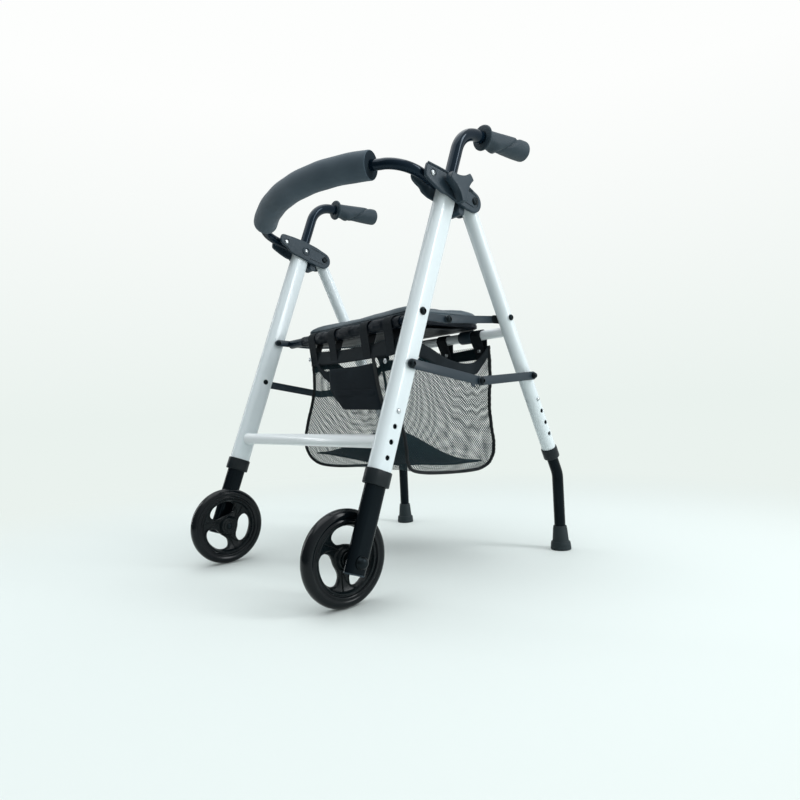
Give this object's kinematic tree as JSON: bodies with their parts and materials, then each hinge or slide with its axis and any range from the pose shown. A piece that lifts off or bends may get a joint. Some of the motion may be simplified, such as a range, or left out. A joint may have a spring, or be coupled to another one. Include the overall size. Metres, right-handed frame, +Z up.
{
  "type": "rollator",
  "caption": "Folding two-wheeled rollator with lift-up padded seat, mesh basket, padded backrest bar, adjustable legs and telescoping handles.",
  "frame": {"origin": "on the floor, at the middle of the rollator's length and width when it stands open", "axes": "+Z up; -Y forward, the way the user walks, towards the wheels; +X to the user's left"},
  "size_m": [0.567, 0.6083, 0.822],
  "materials": {
    "white_tube": "satin white paint on aluminium tube",
    "black_tube": "gloss black paint",
    "dark_plastic": "fine moulded matte",
    "foam": "soft closed-cell foam, matte",
    "tyre_rubber": "smooth solid tyre",
    "foot_rubber": "matte",
    "dark_bolt": "black-coated steel",
    "button_steel": "plated",
    "seat_vinyl": "dark grey coated cloth over foam",
    "mesh_cloth": "open woven mesh with black binding",
    "base_board": "black cloth over a board"
  },
  "bodies": {
    "front_frame": {"front_leg_left": "white_tube", "leg_bushing_left": "dark_plastic", "front_collar_left": "dark_plastic", "bracket_outer_left": "dark_plastic", "bracket_inner_left": "dark_plastic", "stop_wedge_left": "dark_plastic", "front_leg_right": "white_tube", "leg_bushing_right": "dark_plastic", "front_collar_right": "dark_plastic", "bracket_outer_right": "dark_plastic", "bracket_inner_right": "dark_plastic", "stop_wedge_right": "dark_plastic", "front_crossbar": "white_tube", "backrest_bar": "black_tube", "backrest_pad": "foam", "basket": "mesh_cloth", "basket_base": "base_board"},
    "rear_frame": {"rear_leg_left": "white_tube", "rear_collar_left": "dark_plastic", "rest_sleeve_left": "dark_plastic", "rear_leg_right": "white_tube", "rear_collar_right": "dark_plastic", "rest_sleeve_right": "dark_plastic", "rear_cross_tube": "white_tube"},
    "seat": {"seat_tube": "black_tube", "seat_board": "dark_plastic", "seat_cushion": "seat_vinyl", "upper_front_link_left": "dark_plastic", "upper_front_link_right": "dark_plastic"},
    "upper_rear_links": {"upper_rear_link_left": "dark_plastic", "upper_rear_link_right": "dark_plastic"},
    "lower_front_links": {"lower_front_link_left": "dark_plastic", "lower_front_link_right": "dark_plastic"},
    "lower_rear_links": {"lower_rear_link_left": "dark_plastic", "lower_rear_link_right": "dark_plastic"},
    "handle_left": {"handle_tube_left": "black_tube", "handle_grip_left": "dark_plastic"},
    "knob_left": {"lock_knob_left": "dark_plastic"},
    "extension_left": {"front_extension_left": "black_tube", "extension_plug_left": "dark_plastic", "axle_bolt_left": "dark_bolt"},
    "wheel_left": {"wheel_hub_left": "dark_plastic", "tyre_left": "tyre_rubber"},
    "front_snap_left": {"front_button_left": "button_steel"},
    "rear_foot_left": {"rear_extension_left": "black_tube", "ferrule_left": "foot_rubber"},
    "rear_snap_left": {"rear_button_left": "button_steel"},
    "handle_right": {"handle_tube_right": "black_tube", "handle_grip_right": "dark_plastic"},
    "knob_right": {"lock_knob_right": "dark_plastic"},
    "extension_right": {"front_extension_right": "black_tube", "extension_plug_right": "dark_plastic", "axle_bolt_right": "dark_bolt"},
    "wheel_right": {"wheel_hub_right": "dark_plastic", "tyre_right": "tyre_rubber"},
    "front_snap_right": {"front_button_right": "button_steel"},
    "rear_foot_right": {"rear_extension_right": "black_tube", "ferrule_right": "foot_rubber"},
    "rear_snap_right": {"rear_button_right": "button_steel"}
  },
  "joints": [
    {"name": "frame_fold", "type": "hinge", "parent": "front_frame", "child": "rear_frame", "pos_m": [0, 0.04845, 0.6632], "axis": [-1, 0, 0], "range_deg": [0, 34]},
    {"name": "seat_lift", "type": "hinge", "parent": "front_frame", "child": "seat", "pos_m": [0, -0.08375, 0.4598], "axis": [1, 0, 0], "range_deg": [0, 88.83]},
    {"name": "upper_rear_link_turn", "type": "hinge", "parent": "rear_frame", "child": "upper_rear_links", "pos_m": [0, 0.14095, 0.463], "axis": [-1, 0, 0], "range_deg": [0, 17.52]},
    {"name": "lower_front_link_turn", "type": "hinge", "parent": "front_frame", "child": "lower_front_links", "pos_m": [0, -0.11665, 0.3725], "axis": [1, 0, 0], "range_deg": [0, 48.21]},
    {"name": "lower_rear_link_turn", "type": "hinge", "parent": "rear_frame", "child": "lower_rear_links", "pos_m": [0, 0.19175, 0.353], "axis": [-1, 0, 0], "range_deg": [0, 66.76]},
    {"name": "handle_height_left", "type": "slide", "parent": "front_frame", "child": "handle_left", "axis": [0, 0.3529, 0.9356], "range_m": [0, 0.1016]},
    {"name": "handle_height_right", "type": "slide", "parent": "front_frame", "child": "handle_right", "axis": [0, 0.3529, 0.9356], "range_m": [0, 0.1016]},
    {"name": "knob_turn_left", "type": "hinge", "parent": "front_frame", "child": "knob_left", "pos_m": [0.264, -0.00136, 0.67814], "axis": [1, 0, 0], "continuous": true},
    {"name": "knob_turn_right", "type": "hinge", "parent": "front_frame", "child": "knob_right", "pos_m": [-0.264, -0.00136, 0.67814], "axis": [1, 0, 0], "continuous": true},
    {"name": "front_leg_height_left", "type": "slide", "parent": "front_frame", "child": "extension_left", "axis": [0, -0.3529, -0.9356], "range_m": [0, 0.0762], "deforming": ["front_button_left"]},
    {"name": "front_leg_height_right", "type": "slide", "parent": "front_frame", "child": "extension_right", "axis": [0, -0.3529, -0.9356], "range_m": [0, 0.0762], "deforming": ["front_button_right"]},
    {"name": "wheel_spin_left", "type": "hinge", "parent": "extension_left", "child": "wheel_left", "pos_m": [0.209, -0.22865, 0.0757], "axis": [1, 0, 0], "continuous": true},
    {"name": "wheel_spin_right", "type": "hinge", "parent": "extension_right", "child": "wheel_right", "pos_m": [-0.209, -0.22865, 0.0757], "axis": [1, 0, 0], "continuous": true},
    {"name": "front_button_press_left", "type": "slide", "parent": "extension_left", "child": "front_snap_left", "axis": [-1, 0, 0], "range_m": [0, 0.004], "stiffness_N_per_m": 800, "springref_m": -0.002},
    {"name": "front_button_press_right", "type": "slide", "parent": "extension_right", "child": "front_snap_right", "axis": [1, 0, 0], "range_m": [0, 0.004], "stiffness_N_per_m": 800, "springref_m": -0.002},
    {"name": "rear_leg_height_left", "type": "slide", "parent": "rear_frame", "child": "rear_foot_left", "axis": [0, 0.4194, -0.9078], "range_m": [0, 0.0762], "deforming": ["rear_button_left"]},
    {"name": "rear_leg_height_right", "type": "slide", "parent": "rear_frame", "child": "rear_foot_right", "axis": [0, 0.4194, -0.9078], "range_m": [0, 0.0762], "deforming": ["rear_button_right"]},
    {"name": "rear_button_press_left", "type": "slide", "parent": "rear_foot_left", "child": "rear_snap_left", "axis": [-1, 0, 0], "range_m": [0, 0.004], "stiffness_N_per_m": 800, "springref_m": -0.002},
    {"name": "rear_button_press_right", "type": "slide", "parent": "rear_foot_right", "child": "rear_snap_right", "axis": [1, 0, 0], "range_m": [0, 0.004], "stiffness_N_per_m": 800, "springref_m": -0.002}
  ],
  "couplings": [
    {"joint": "seat_lift", "follows": "frame_fold", "ratio": 2.6107},
    {"joint": "upper_rear_link_turn", "follows": "frame_fold", "ratio": 0.51452},
    {"joint": "lower_front_link_turn", "follows": "frame_fold", "ratio": 1.4165},
    {"joint": "lower_rear_link_turn", "follows": "frame_fold", "ratio": 1.9619}
  ]
}
